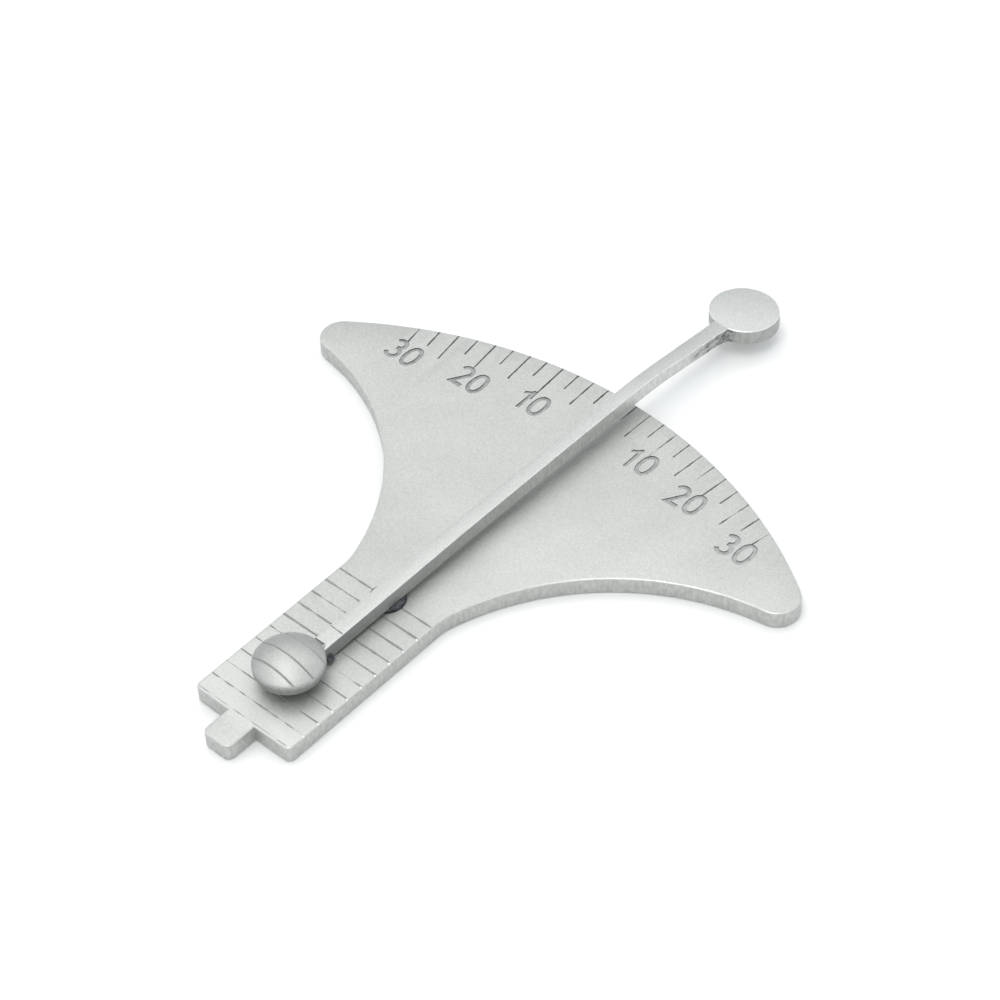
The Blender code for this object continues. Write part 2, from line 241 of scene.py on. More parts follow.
def plate_half_outline():
    """The plate's right side, from the middle of the fan's arc down to the tongue's end."""
    fan_centre = (0, FAN_CENTRE_Y)
    tip = meeting_point(
        fan_centre, FAN_RADIUS - WING_TIP_RADIUS, FLANK_CENTRE, FLANK_RADIUS + WING_TIP_RADIUS
    )
    fillet_x = TAIL_HALF_WIDTH + SHOULDER_FILLET
    fillet_rise = math.sqrt((FLANK_RADIUS - SHOULDER_FILLET) ** 2 - (FLANK_CENTRE[0] - fillet_x) ** 2)
    fillet = (fillet_x, FLANK_CENTRE[1] + fillet_rise)
    quarter = math.pi / 2
    to_tip = direction(fan_centre, tip)
    tip_to_flank = direction(tip, FLANK_CENTRE)
    flank_to_tip = direction(FLANK_CENTRE, tip)
    flank_to_fillet = direction(FLANK_CENTRE, fillet)
    tail_corner = (TAIL_HALF_WIDTH - TAIL_CORNER, TAIL_END + TAIL_CORNER)
    tongue_corner = (TONGUE_HALF_WIDTH - TONGUE_CORNER, TONGUE_END + TONGUE_CORNER)
    outline = arc(fan_centre, FAN_RADIUS, quarter, to_tip, 80)
    outline += arc(tip, WING_TIP_RADIUS, to_tip, tip_to_flank, 24)[1:]
    outline += arc(FLANK_CENTRE, FLANK_RADIUS, flank_to_tip, flank_to_fillet, 80)[1:]
    outline += arc(fillet, SHOULDER_FILLET, flank_to_fillet, math.pi, 10)[1:]
    outline += arc(tail_corner, TAIL_CORNER, 0, -quarter, 10)
    outline.append((TONGUE_HALF_WIDTH, TAIL_END))
    outline += arc(tongue_corner, TONGUE_CORNER, 0, -quarter, 10)
    return outline


def mirrored(half):
    """A closed outline from its right half, whose first point may lie on the mirror line."""
    return half + [(-x, y) for x, y in reversed(half) if abs(x) > 1e-6]


def held(value):
    """The value, kept between 0 and 1."""
    return min(1.0, max(0.0, value))


def between(stations, s):
    """The value at s, in line between the (distance, value) stations."""
    for (s0, value0), (s1, value1) in zip(stations, stations[1:]):
        if s0 <= s <= s1:
            return value0 + (value1 - value0) * (s - s0) / (s1 - s0)
    return stations[0][1] if s < stations[0][0] else stations[-1][1]


def bar_rise(s):
    """Height of the pointer at a distance s along it, above its height at the pivot."""
    rise = BAR_SLOPES[0][0] * BAR_SLOPES[0][1]
    for (s0, slope0), (s1, slope1) in zip(BAR_SLOPES, BAR_SLOPES[1:]):
        reach = min(s, s1) - s0
        if reach > 0:
            rise += reach * (slope0 + (slope1 - slope0) * reach / (s1 - s0) / 2)
    return rise


def arm_outline():
    """The bar and its disc, flat, along +Y, with the bar's middle on x = 0."""
    neck = BAR_HALF_WIDTHS[-1][1]
    right_neck = math.asin((neck - DISC_CENTRE[0]) / DISC_RADIUS)
    left_neck = math.asin((neck + DISC_CENTRE[0]) / DISC_RADIUS)
    disc = arc(DISC_CENTRE, DISC_RADIUS, -math.pi / 2 + right_neck, 1.5 * math.pi - left_neck, 150)
    right = [(half_width, s) for s, half_width in BAR_HALF_WIDTHS[:-1]]
    return right + disc + [(-x, s) for x, s in reversed(right)]


# ---------------------------------------------------------------- mesh work

def add_object(name, shape, *materials):
    """An object from a bmesh, which is used up."""
    mesh = bpy.data.meshes.new(name)
    bmesh.ops.recalc_face_normals(shape, faces=shape.faces)
    shape.to_mesh(mesh)
    shape.free()
    for material in materials:
        mesh.materials.append(material)
    item = bpy.data.objects.new(name, mesh)
    bpy.context.scene.collection.objects.link(item)
    return item


def slab(outline, bottom, top):
    """A bmesh prism on that outline."""
    shape = bmesh.new()
    face = shape.faces.new([shape.verts.new((x, y, bottom)) for x, y in outline])
    grown = bmesh.ops.extrude_face_region(shape, geom=[face])
    raised = [v for v in grown["geom"] if isinstance(v, bmesh.types.BMVert)]
    bmesh.ops.translate(shape, verts=raised, vec=(0, 0, top - bottom))
    return shape


def round_rims(shape, width, segments=4):
    """Rounds the edges between the broad faces and the sides."""
    rims = [
        edge for edge in shape.edges
        if len(edge.link_faces) == 2 and len({abs(face.normal.z) > 0.5 for face in edge.link_faces}) == 2
    ]
    bmesh.ops.bevel(
        shape, geom=rims, offset=width, segments=segments, profile=0.5, affect="EDGES", clamp_overlap=True
    )


def turned(profile, steps, centre=(0, 0), is_ring=False):
    """A bmesh solid turned about Z. The profile's (radius, height) points run down its outer side."""
    shape = bmesh.new()
    rings = []
    for k in range(steps):
        angle = 2 * math.pi * k / steps
        turn = (math.cos(angle), math.sin(angle))
        ring = []
        for j, (r, z) in enumerate(profile):
            if r < 1e-6 and rings:
                ring.append(rings[0][j])
            else:
                ring.append(shape.verts.new((centre[0] + r * turn[0], centre[1] + r * turn[1], z)))
        rings.append(ring)
    last = len(profile) if is_ring else len(profile) - 1
    for k in range(steps):
        ring, following = rings[k], rings[(k + 1) % steps]
        for j in range(last):
            i = (j + 1) % len(profile)
            corners = [ring[j], ring[i], following[i], following[j]]
            distinct = [v for n, v in enumerate(corners) if v not in corners[:n]]
            if len(distinct) > 2:
                shape.faces.new(distinct)
    return shape


def groove(shape, start, end, top, depth, seed, wear=0.0, openness=1.15):
    """Adds a V-shaped cutter from start to end to a bmesh. Wear makes it shallow in places."""
    start, end = Vector(start), Vector(end)
    length = (end - start).length
    side = Vector((start.y - end.y, end.x - start.x)) / length
    clearance = 0.06
    ring_spacing = 0.12
    count = max(2, int(length / ring_spacing))
    rings = []
    for k in range(count + 1):
        spot = start.lerp(end, k / count)
        here = noise.noise(Vector((spot.x * 1.7, spot.y * 1.7, seed * 7.3)))
        fine = noise.noise(Vector((spot.x * 9.0, spot.y * 9.0, seed * 3.1)))
        bite = depth * max(0.15, 1 - wear * max(0.0, here + 0.25) * 2.2 - 0.25 * abs(fine))
        half = (bite + clearance) * openness
        shift = side * 0.012 * fine
        corners = [spot + shift - side * half, spot + shift, spot + shift + side * half]
        heights = [top + clearance, top - bite, top + clearance]
        rings.append([shape.verts.new((c.x, c.y, z)) for c, z in zip(corners, heights)])
    for ring, following in zip(rings, rings[1:]):
        for j in range(3):
            i = (j + 1) % 3
            shape.faces.new([ring[j], ring[i], following[i], following[j]])
    shape.faces.new(rings[0])
    shape.faces.new(rings[-1])


def bake(item):
    """Applies an object's modifiers."""
    evaluated = item.evaluated_get(bpy.context.evaluated_depsgraph_get())
    mesh = bpy.data.meshes.new_from_object(evaluated)
    item.modifiers.clear()
    item.data = mesh


def cut(item, *cutters, operation="DIFFERENCE"):
    """Cuts the objects in turn out of the item, and removes them. A cut face keeps its cutter's material."""
    for cutter in cutters:
        boolean = item.modifiers.new(cutter.name, "BOOLEAN")
        boolean.operation = operation
        boolean.solver = "EXACT"
        boolean.material_mode = "TRANSFER"
        boolean.object = cutter
    bake(item)
    for cutter in cutters:
        bpy.data.objects.remove(cutter)


def settle(item, placing, body, slot, *replaced, smooth_angle=14):
    """Shades a finished piece, carries it into the frame and makes it ride on its body."""
    item.data.transform(placing)
    item.data.shade_smooth()
    item.data.set_sharp_from_angle(angle=math.radians(smooth_angle))
    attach(item, body)
    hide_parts(*replaced)


# ---------------------------------------------------------------- materials

class Nodes:
    """A material's node tree, with short calls for the nodes that the materials share."""

    def __init__(self, name):
        self.material = bpy.data.materials.new(name)
        self.material.use_nodes = True
        self.tree = self.material.node_tree
        self.shader = self.tree.nodes["Principled BSDF"]
        self.place = self.tree.nodes.new("ShaderNodeTexCoord").outputs["Object"]

    def put(self, value, socket):
        if isinstance(value, bpy.types.NodeSocket):
            self.tree.links.new(value, socket)
        else:
            socket.default_value = value

    def noise(self, size, detail=3.0, roughness=0.55, stretch=None):
        """Noise whose lumps are about that many millimetres across."""
        place = self.place
        if stretch:
            mapping = self.tree.nodes.new("ShaderNodeMapping")
            self.put(place, mapping.inputs["Vector"])
            mapping.inputs["Scale"].default_value = stretch
            place = mapping.outputs["Vector"]
        node = self.tree.nodes.new("ShaderNodeTexNoise")
        self.put(place, node.inputs["Vector"])
        node.inputs["Scale"].default_value = 1 / (size * MM)
        node.inputs["Detail"].default_value = detail
        node.inputs["Roughness"].default_value = roughness
        return node.outputs["Fac"]

    def math(self, operation, a, b=0.0, clamp=False):
        node = self.tree.nodes.new("ShaderNodeMath")
        node.operation = operation
        node.use_clamp = clamp
        self.put(a, node.inputs[0])
        self.put(b, node.inputs[1])
        return node.outputs[0]

    def spread(self, value, low, high, out_low, out_high):
        """Maps a value from one range to another, held inside it."""
        node = self.tree.nodes.new("ShaderNodeMapRange")
        names = ("Value", "From Min", "From Max", "To Min", "To Max")
        for name, setting in zip(names, (value, low, high, out_low, out_high)):
            self.put(setting, node.inputs[name])
        return node.outputs[0]

    def mix(self, share, first, second):
        node = self.tree.nodes.new("ShaderNodeMix")
        node.data_type = "RGBA"
        self.put(share, node.inputs["Factor"])
        self.put(first, node.inputs["A"])
        self.put(second, node.inputs["B"])
        return node.outputs["Result"]

    def flatness(self):
        """1 where the surface faces up or down, 0 where it is upright."""
        geometry = self.tree.nodes.new("ShaderNodeNewGeometry")
        split = self.tree.nodes.new("ShaderNodeSeparateXYZ")
        self.put(geometry.outputs["Normal"], split.inputs[0])
        return self.math("ABSOLUTE", split.outputs["Z"])

    def along(self, axis):
        """Metres along one of the frame's axes."""
        split = self.tree.nodes.new("ShaderNodeSeparateXYZ")
        self.put(self.place, split.inputs[0])
        return split.outputs[axis]

    def bump(self, height, distance, strength, normal=None):
        """A bump whose full height is that many millimetres."""
        node = self.tree.nodes.new("ShaderNodeBump")
        self.put(height, node.inputs["Height"])
        node.inputs["Distance"].default_value = distance * MM
        node.inputs["Strength"].default_value = strength
        if normal:
            self.put(normal, node.inputs["Normal"])
        return node.outputs["Normal"]


def shade_of(colour, factor):
    """A colour made darker or lighter, with an alpha of 1."""
    return (*(channel * factor for channel in colour), 1)


def steel(name, colour, roughness, side_shade=0.86, edge_highlight=1.35, wear=1.0, painted_tail_light=0.0, painted_shade_ramp=None):
    """Bead-blasted steel: fine pits, cloudy mottling, upright faces with a duller finish and painted shade,
    and worn edges that are painted lighter, a painted highlight.

    A painted tail light brightens the plate's tail, a pool of light painted onto it. A painted shade ramp
    darkens
    upright faces toward one end of an axis: it is the axis, the dark end and the lit end in metres, and the
    share of the shade that is left.
    """
    look = Nodes(name)
    clouds = look.noise(2.6, detail=2.0)
    mottle = look.noise(0.35, detail=4.0)
    pits = look.noise(0.09, detail=2.0, roughness=0.6)
    cloudy = look.spread(clouds, 0.3, 0.7, -0.15, 0.15)
    mottled = look.spread(mottle, 0.3, 0.7, -0.15, 0.15)
    pitted = look.spread(pits, 0.3, 0.7, -0.7, 0.7)
    tone = look.math("ADD", look.math("ADD", cloudy, mottled), pitted)
    # Painted light: the tail's top, short of the tongue, is painted lighter, a pool of light painted onto it.
    if painted_tail_light:
        y = look.along("Y")
        lift = look.spread(y, -0.012, -0.0165, 0.0, painted_tail_light)
        before_tongue = look.spread(y, -0.0195, -0.0185, 0.0, 1.0)
        tone = look.math("ADD", tone, look.math("MULTIPLY", lift, before_tongue))
    surface = look.mix(look.spread(tone, -1.0, 1.0, 0.0, 1.0), shade_of(colour, 0.84), shade_of(colour, 1.16))
    flatness = look.flatness()
    flat = look.spread(flatness, 0.15, 0.6, 0.0, 1.0)
    streaks = look.noise(0.17, detail=4.0, stretch=(1, 1, 0.45))
    # Upright faces take their own tone: partly a duller cut finish, partly painted shade and light, set per
    # piece by the side shade.
    cut_and_shaded_side = look.mix(
        look.spread(streaks, 0.35, 0.65, 0.0, 1.0), shade_of(colour, side_shade * 0.88),
        shade_of(colour, side_shade * 1.1)
    )
    # Painted shade: upright faces are painted darker toward one end, the bar's sides near the tail and the
    # button's low side over the plate.
    if painted_shade_ramp:
        axis, dark_end, lit_end, darkness = painted_shade_ramp
        share = look.spread(look.along(axis), dark_end, lit_end, 1.0, 0.0)
        cut_and_shaded_side = look.mix(share, cut_and_shaded_side, shade_of(colour, side_shade * darkness))
    # Painted highlight: the rounded edges are worn and also painted lighter, by the wear share times the edge
    # highlight.
    above_side = look.spread(flatness, 0.3, 0.55, 0.0, 1.0)
    below_top = look.spread(flatness, 0.84, 0.97, 1.0, 0.0)
    edge = look.math("MULTIPLY", above_side, below_top)
    worn_and_highlit = look.math("MULTIPLY", edge, look.spread(mottle, 0.35, 0.55, 0.55 * wear, wear))
    body = look.mix(flat, cut_and_shaded_side, surface)
    look.put(look.mix(worn_and_highlit, body, shade_of(colour, edge_highlight)), look.shader.inputs["Base Color"])
    rough = look.spread(look.math("ADD", mottle, pits), 0.6, 1.4, roughness - 0.06, roughness + 0.06)
    polish = look.math("MULTIPLY", worn_and_highlit, 0.18)
    look.put(look.math("SUBTRACT", rough, polish), look.shader.inputs["Roughness"])
    look.shader.inputs["Metallic"].default_value = 1
    fine = look.bump(pits, 0.009, 0.5)
    look.put(look.bump(mottle, 0.008, 0.35, fine), look.shader.inputs["Normal"])
    return look.material


def engraved_steel(name, wall_dark, wall_light, floor_dark, floor_light, fade=0.0):
    """The dull walls and floors of engraved strokes, each between two greys: dirt and painted shade in the
    hollows, the walls painted darker than the floors.

    A fade makes the strokes lighter toward the plate's right and a little darker toward its left.
    """
    look = Nodes(name)
    dirt_and_shade = look.noise(0.22, detail=4.0)
    share = look.spread(dirt_and_shade, 0.33, 0.67, 0.0, 1.0)
    # Painted shade: the strokes' upright walls take the darker pair of greys, their floors the lighter pair.
    flat = look.spread(look.flatness(), 0.75, 0.98, 0.0, 1.0)
    if fade:
        cleaner = look.spread(look.along("X"), -0.002, 0.013, -0.5 * fade, fade)
        share = look.math("ADD", share, cleaner, clamp=True)
    wall = look.mix(share, shade_of(ENGRAVING_TINT, wall_dark), shade_of(ENGRAVING_TINT, wall_light))
    floor = look.mix(share, shade_of(ENGRAVING_TINT, floor_dark), shade_of(ENGRAVING_TINT, floor_light))
    look.put(look.mix(flat, wall, floor), look.shader.inputs["Base Color"])
    look.put(look.spread(dirt_and_shade, 0.3, 0.7, 0.6, 0.75), look.shader.inputs["Roughness"])
    look.shader.inputs["Metallic"].default_value = 0.85
    look.put(look.bump(look.noise(0.05), 0.008, 0.5), look.shader.inputs["Normal"])
    return look.material


def burred_steel():
    """The rough, pitted sides of the bar by its disc, with dark blotches."""
    look = Nodes("burred_steel")
    blotches = look.noise(0.45, detail=5.0, roughness=0.7, stretch=(1, 1, 1.6))
    grains = look.noise(0.12, detail=3.0)
    cleaner = look.spread(look.along("Y"), 0.0136, 0.0158, 0.16, 0.0)
    clean = look.spread(look.math("ADD", blotches, cleaner), 0.42, 0.58, 0.0, 1.0)
    colour = look.mix(clean, (0.2, 0.205, 0.2, 1), (0.52, 0.53, 0.52, 1))
    colour = look.mix(look.spread(grains, 0.55, 0.7, 0.0, 0.5), colour, (0.7, 0.71, 0.7, 1))
    look.put(colour, look.shader.inputs["Base Color"])
    look.put(look.spread(blotches, 0.4, 0.6, 0.65, 0.48), look.shader.inputs["Roughness"])
    look.shader.inputs["Metallic"].default_value = 1
    fine = look.bump(grains, 0.02, 0.6)
    look.put(look.bump(blotches, 0.04, 0.6, fine), look.shader.inputs["Normal"])
    return look.material


def braze():
    """Dark, scaly filler metal with a few brighter grains."""
    look = Nodes("braze")
    scale = look.noise(0.2, detail=5.0, roughness=0.7)
    grains = look.noise(0.09, detail=2.0)
    colour = look.mix(look.spread(scale, 0.35, 0.65, 0.0, 1.0), (0.035, 0.04, 0.05, 1), (0.21, 0.22, 0.23, 1))
    colour = look.mix(look.spread(grains, 0.57, 0.7, 0.0, 0.7), colour, (0.42, 0.43, 0.43, 1))
    look.put(colour, look.shader.inputs["Base Color"])
    look.put(look.spread(scale, 0.3, 0.7, 0.5, 0.8), look.shader.inputs["Roughness"])
    look.shader.inputs["Metallic"].default_value = 0.9
    fine = look.bump(grains, 0.02, 0.6)
    look.put(look.bump(scale, 0.11, 0.9, fine), look.shader.inputs["Normal"])
    return look.material


# ---------------------------------------------------------------- the plate

def stroke(points, width):
    """The closed outline of a stroke of that width along the points, with mitred corners and square ends."""
    spots = [Vector(p) for p in points]
    left, right = [], []
    for k, spot in enumerate(spots):
        before = (spot - spots[k - 1]).normalized() if k else None
        after = (spots[k + 1] - spot).normalized() if k + 1 < len(spots) else None
        before, after = before or after, after or before
        middle = (before + after).normalized()
        across = Vector((-middle.y, middle.x))
        reach = width / 2 / max(0.35, across.dot(Vector((-after.y, after.x))))
        left.append(tuple(spot + across * reach))
        right.append(tuple(spot - across * reach))
    return left + right[::-1]


def oval(half_width, half_height, steps=40, squareness=2.3):
    """A closed, slightly squared oval."""
    points = []
    for k in range(steps):
        c, s = math.cos(2 * math.pi * k / steps), math.sin(2 * math.pi * k / steps)
        points.append((
            math.copysign(abs(c) ** (2 / squareness) * half_width, c),
            math.copysign(abs(s) ** (2 / squareness) * half_height, s),
        ))
    return points


def add_prism(shape, outline, x, y, bottom, top):
    """Adds a prism on a closed outline, moved by x and y."""
    lower = [shape.verts.new((px + x, py + y, bottom)) for px, py in outline]
    upper = [shape.verts.new((px + x, py + y, top)) for px, py in outline]
    shape.faces.new(lower)
    shape.faces.new(upper)
    for k in range(len(outline)):
        i = (k + 1) % len(outline)
        shape.faces.new([lower[k], lower[i], upper[i], upper[k]])


def add_ring_prism(shape, outer, inner, x, y, bottom, top):
    """Adds a prism between two outlines that have the same number of points."""
    loops = [
        [shape.verts.new((px + x, py + y, z)) for px, py in outline]
        for outline, z in ((outer, bottom), (outer, top), (inner, top), (inner, bottom))
    ]
    for k in range(len(outer)):
        i = (k + 1) % len(outer)
        for n, loop in enumerate(loops):
            following = loops[(n + 1) % 4]
            shape.faces.new([loop[k], loop[i], following[i], following[k]])


def add_digit(upper, lower, digit, x, y):
    """Adds a digit's cutters. A 3's lower bowl goes into its own mesh, because it overlaps the upper one."""
    floor, roof = PLATE_TOP - DIGIT_DEPTH, PLATE_TOP + DIGIT_DEPTH
    if digit == "0":
        half = DIGIT_STROKE / 2
        outer = oval(ZERO_HALF_WIDTH + half, DIGIT_MIDLINE + half)
        inner = oval(ZERO_HALF_WIDTH - half, DIGIT_MIDLINE - half)
        add_ring_prism(upper, outer, inner, x, y, floor, roof)
    if digit == "1":
        flag = [(0.0, -DIGIT_HALF_HEIGHT), (0.22, -DIGIT_HALF_HEIGHT), (0.22, DIGIT_HALF_HEIGHT)]
        flag += [(0.07, DIGIT_HALF_HEIGHT), (-0.05, 0.6), (-0.32, 0.46), (-0.32, 0.27), (0.0, 0.42)]
        add_prism(upper, flag, x + 0.08, y, floor, roof)
    if digit == "2":
        bowl_centre = (0, DIGIT_MIDLINE - TWO_BOWL_RADIUS)
        points = arc(bowl_centre, TWO_BOWL_RADIUS, math.radians(165), math.radians(-28), 16)
        points += [(-0.28, -DIGIT_MIDLINE), (0.42, -DIGIT_MIDLINE)]
        add_prism(upper, stroke(points, DIGIT_STROKE), x, y, floor, roof)
    if digit == "3":
        top_radius, bottom_radius = THREE_BOWL_RADII
        top_centre = (THREE_BOWL_X, DIGIT_MIDLINE - top_radius)
        bottom_centre = (THREE_BOWL_X, bottom_radius - DIGIT_MIDLINE)
        top_bowl = arc(top_centre, top_radius, math.radians(155), math.radians(-95), 18)
        bottom_bowl = arc(bottom_centre, bottom_radius, math.radians(95), math.radians(-155), 22)
        add_prism(upper, stroke(top_bowl, DIGIT_STROKE), x, y, floor, roof)
        add_prism(lower, stroke(bottom_bowl, DIGIT_STROKE), x, y, floor, roof)


def ruler_cutter(material):
    """Eleven lines a millimetre apart, across the whole tail."""
    shape = bmesh.new()
    strong, weak, last = RULER_CUTS
    for k, (depth, wear) in enumerate([strong] * STRONG_LINES + [weak] * WEAK_LINES + [last]):
        end = TAIL_HALF_WIDTH + LINE_OVERRUN + (FIRST_LINE_EXTRA if k == 0 else 0)
        groove(shape, (-end, -k), (end, -k), PLATE_TOP, depth, k, wear, openness=LINE_OPENNESS)
    return add_object("ruler_lines", shape, material)


def tick_cutter(material):
    """The degree scale: a tick each 2.5 degrees, longer at each fifth and tenth degree, leaning outward."""
    shape = bmesh.new()
    for side, (depth, wear) in TICK_CUTS.items():
        for k in range(1 if side > 0 else 0, TICKS_PER_SIDE + 1):
            x = side * (TICK_PITCH * k + TICK_PITCH_GROWTH * k * k)
            y = FAN_CENTRE_Y + math.sqrt(FAN_RADIUS**2 - x**2)
            length = SHORT_TICK if k % 2 else MIDDLE_TICK
            if k and k % 4 == 0:
                length = LONG_TICKS[side][k // 4 - 1]
            lean = side * k * TICK_LEAN
            heading = Vector((math.sin(lean), math.cos(lean)))
            outer = Vector((x, y)) + heading * TICK_OVERRUN
            inner = Vector((x, y)) - heading * length
            groove(shape, outer, inner, PLATE_TOP, depth, 20 + side * k, wear)
    return add_object("degree_ticks", shape, material)


def numeral_cutters(material):
    """All the scale's digits, and the lower bowls of its threes."""
    upper, lower = bmesh.new(), bmesh.new()
    for text, x, y in LABELS:
        for place, digit in enumerate(text):
            add_digit(upper, lower, digit, x + (place * 2 - 1) * DIGIT_SPACING, y)
    return add_object("numerals", upper, material), add_object("lower_bowls", lower, material)


def bore_cutter(material):
    """The round pocket, the rivet's hole and the counterbore, as one stepped cutter."""
    profile = [
        (0, PLATE_TOP + 1),
        (RECESS_RADIUS, PLATE_TOP + 1),
        (RECESS_RADIUS, PLATE_TOP - RECESS_DEPTH),
        (RIVET_HOLE_RADIUS, PLATE_TOP - RECESS_DEPTH),
        (RIVET_HOLE_RADIUS, COUNTERBORE_DEPTH),
        (COUNTERBORE_RADIUS, COUNTERBORE_DEPTH),
        (COUNTERBORE_RADIUS, -1),
        (0, -1),
    ]
    return add_object("rivet_bore", turned(profile, 96, centre=(PIVOT.x, 0)), material)


def edge_burrs(material):
    """The tiny burrs where the ruler's lines run out over the tail's right edge, with a painted glint."""
    shape = bmesh.new()
    for k in range(1, STRONG_LINES + WEAK_LINES):
        grown = bmesh.ops.create_icosphere(shape, subdivisions=2, radius=EDGE_BURR_RADIUS)["verts"]
        y = -k + EDGE_BURR_SHIFT + EDGE_BURR_WANDER * noise.noise(Vector((k * 2.7, 0, 0)))
        spot = (TAIL_HALF_WIDTH - EDGE_BURR_RADIUS, y, PLATE_TOP - 0.5 * EDGE_BURR_RADIUS)
        bmesh.ops.translate(shape, verts=grown, vec=spot)
    return add_object("edge_burrs", shape, material)


def build_plate(metal, engraving, lines, bright):
    """The plate with its scale, ruler, pocket and bore."""
    shape = slab(mirrored(plate_half_outline()), 0, PLATE_TOP)
    shape.normal_update()
    round_rims(shape, PLATE_EDGE_ROUND)
    plate = add_object("engraved_plate", shape, metal, engraving, lines, bright)
    cut(plate, ruler_cutter(lines), tick_cutter(engraving), *numeral_cutters(engraving), bore_cutter(metal))
    cut(plate, edge_burrs(bright), operation="UNION")
    settle(plate, PLATE_FRAME, "plate", "blasted_steel", "scale_plate")


# ---------------------------------------------------------------- the pointer

def build_arm(metal, lit_disc_metal, rough_metal, engraving):
    """The bar and disc: one flat outline, bent afterwards, with the bar's sides left rough by the neck."""
    shape = slab(arm_outline(), 0, BAR_THICKNESS)
    shape.normal_update()
    round_rims(shape, BAR_EDGE_ROUND)
    rough_steps = int((ROUGH_TO - ROUGH_FROM) / ROUGH_STEP)
    for s in BAR_BEND_CUTS + [ROUGH_FROM + ROUGH_STEP * k for k in range(1, rough_steps)]:
        bmesh.ops.bisect_plane(
            shape, geom=shape.verts[:] + shape.edges[:] + shape.faces[:], dist=1e-5,
            plane_co=(0, s, 0), plane_no=(0, 1, 0)
        )
    for level in ROUGH_LEVELS:
        sides = [f for f in shape.faces if abs(f.normal.z) < 0.3 and f.calc_center_median().y > ROUGH_FROM]
        verts = list({v for f in sides for v in f.verts})
        geometry = verts + list({e for f in sides for e in f.edges}) + sides
        bmesh.ops.bisect_plane(shape, geom=geometry, dist=1e-5, plane_co=(0, 0, level), plane_no=(0, 0, 1))
    for vertex in shape.verts:
        s = vertex.co.y
        share = held((s - ROUGH_FROM) / ROUGH_FADE_IN) * held((ROUGH_TO - s) / ROUGH_FADE_OUT)
        if share and abs(abs(vertex.co.x) - between(BAR_HALF_WIDTHS, s)) < 0.02:
            rough = noise.noise(vertex.co * 3.5) + 0.6 * noise.noise(vertex.co * 9.0)
            vertex.co.x -= math.copysign(ROUGH_HEIGHT * share * max(-0.4, rough), vertex.co.x)
        if vertex.co.z < BAR_THICKNESS / 2:
            vertex.co.z += between(BAR_THINNING, s)
        vertex.co.z += bar_rise(s)
    bmesh.ops.translate(shape, verts=shape.verts, vec=(BAR_OFFSET, 0, PLATE_TOP + BAR_UNDERSIDE_AT_PIVOT))
    shape.normal_update()
    for face in shape.faces:
        s = face.calc_center_median().y
        upright = abs(face.normal.z) < 0.4
        face.material_index = 1 if s > ROUGH_TO else 2 if upright and s > ROUGH_FROM else 0
    arm = add_object("pointer_bar", shape, metal, lit_disc_metal, rough_metal, engraving)
    marks = bmesh.new()
    for seed, (s, left, right, depth) in enumerate(BAR_MARKS):
        top = PLATE_TOP + BAR_UNDERSIDE_AT_PIVOT + BAR_THICKNESS + bar_rise(s)
        groove(marks, (BAR_OFFSET + left, s), (BAR_OFFSET + right, s), top, depth, 50 + seed, 0.2)
    cut(arm, add_object("bar_marks", marks, engraving))
    settle(arm, POINTER_FRAME, "pointer", "blasted_steel", "pointer_arm")


def dome_profile():
    """Crown, soft rim, straight side and a well-rounded lower edge, as (radius, height above the plate)."""
    crown_reach = DOME_RADIUS - DOME_TOP_ROUND * 0.8
    sphere = (crown_reach**2 + DOME_CROWN**2) / (2 * DOME_CROWN)
    lean = math.asin(crown_reach / sphere)
    crown_top = DOME_RIM_HEIGHT + DOME_CROWN
    profile = arc((0, crown_top - sphere), sphere, math.pi / 2, math.pi / 2 - lean, 40)
    rim = (DOME_RADIUS - DOME_TOP_ROUND, DOME_RIM_HEIGHT - DOME_TOP_ROUND)
    profile += arc(rim, DOME_TOP_ROUND, math.pi / 2 - lean * 1.2, 0, 10)[1:]
    low = (DOME_RADIUS - DOME_BOTTOM_ROUND, DOME_BOTTOM_HEIGHT + DOME_BOTTOM_ROUND)
    profile += arc(low, DOME_BOTTOM_ROUND, 0, -math.pi / 2, 12)
    profile.append((0, DOME_BOTTOM_HEIGHT))
    return profile


def build_dome(metal, engraving):
    """The button. Its grooves are creased into the crown between planes, so they follow its curve."""
    shape = turned(dome_profile(), 128)
    for middle, half, _ in DOME_GROOVES:
        for offset in (-1, -0.5, 0, 0.5, 1):
            y = middle + offset * half
            geometry = shape.verts[:] + shape.edges[:] + shape.faces[:]
            bmesh.ops.bisect_plane(shape, geom=geometry, dist=1e-5, plane_co=(0, y, 0), plane_no=(0, 1, 0))
    runout_from, runout_to = DOME_GROOVE_RUNOUT
    for vertex in shape.verts:
        reach = math.hypot(vertex.co.x, vertex.co.y)
        fade = held((vertex.co.z - DOME_RIM_HEIGHT + runout_from) / (runout_from - runout_to))
        for middle, half, depth in DOME_GROOVES:
            gap = abs(vertex.co.y - middle) / half
            if gap < 1 and fade:
                vertex.co.z -= depth * (1 - gap) * fade
                vertex.co.x *= 1 - DOME_GROOVE_NOTCH * (1 - gap) * (reach / DOME_RADIUS)
    for face in shape.faces:
        spot = face.calc_center_median()
        near = any(abs(spot.y - middle) < half for middle, half, _ in DOME_GROOVES)
        face.material_index = 1 if near and spot.z > DOME_RIM_HEIGHT - 0.1 else 0
    bmesh.ops.translate(shape, verts=shape.verts, vec=(*DOME_CENTRE, PLATE_TOP + DOME_LIFT))
    dome = add_object("grooved_button", shape, metal, engraving)
    settle(dome, POINTER_FRAME, "pointer", "blasted_steel", "dome_button", smooth_angle=30)


def lumpy(shape, frequency, amount, seed):
    """Pushes a bmesh's points in and out by noise."""
    shape.normal_update()
    for vertex in shape.verts:
        spot = vertex.co * frequency + Vector((seed * 5.1, 0, 0))
        push = noise.noise(spot) + 0.5 * noise.noise(spot * 2.3)
        vertex.co += vertex.normal * amount * push


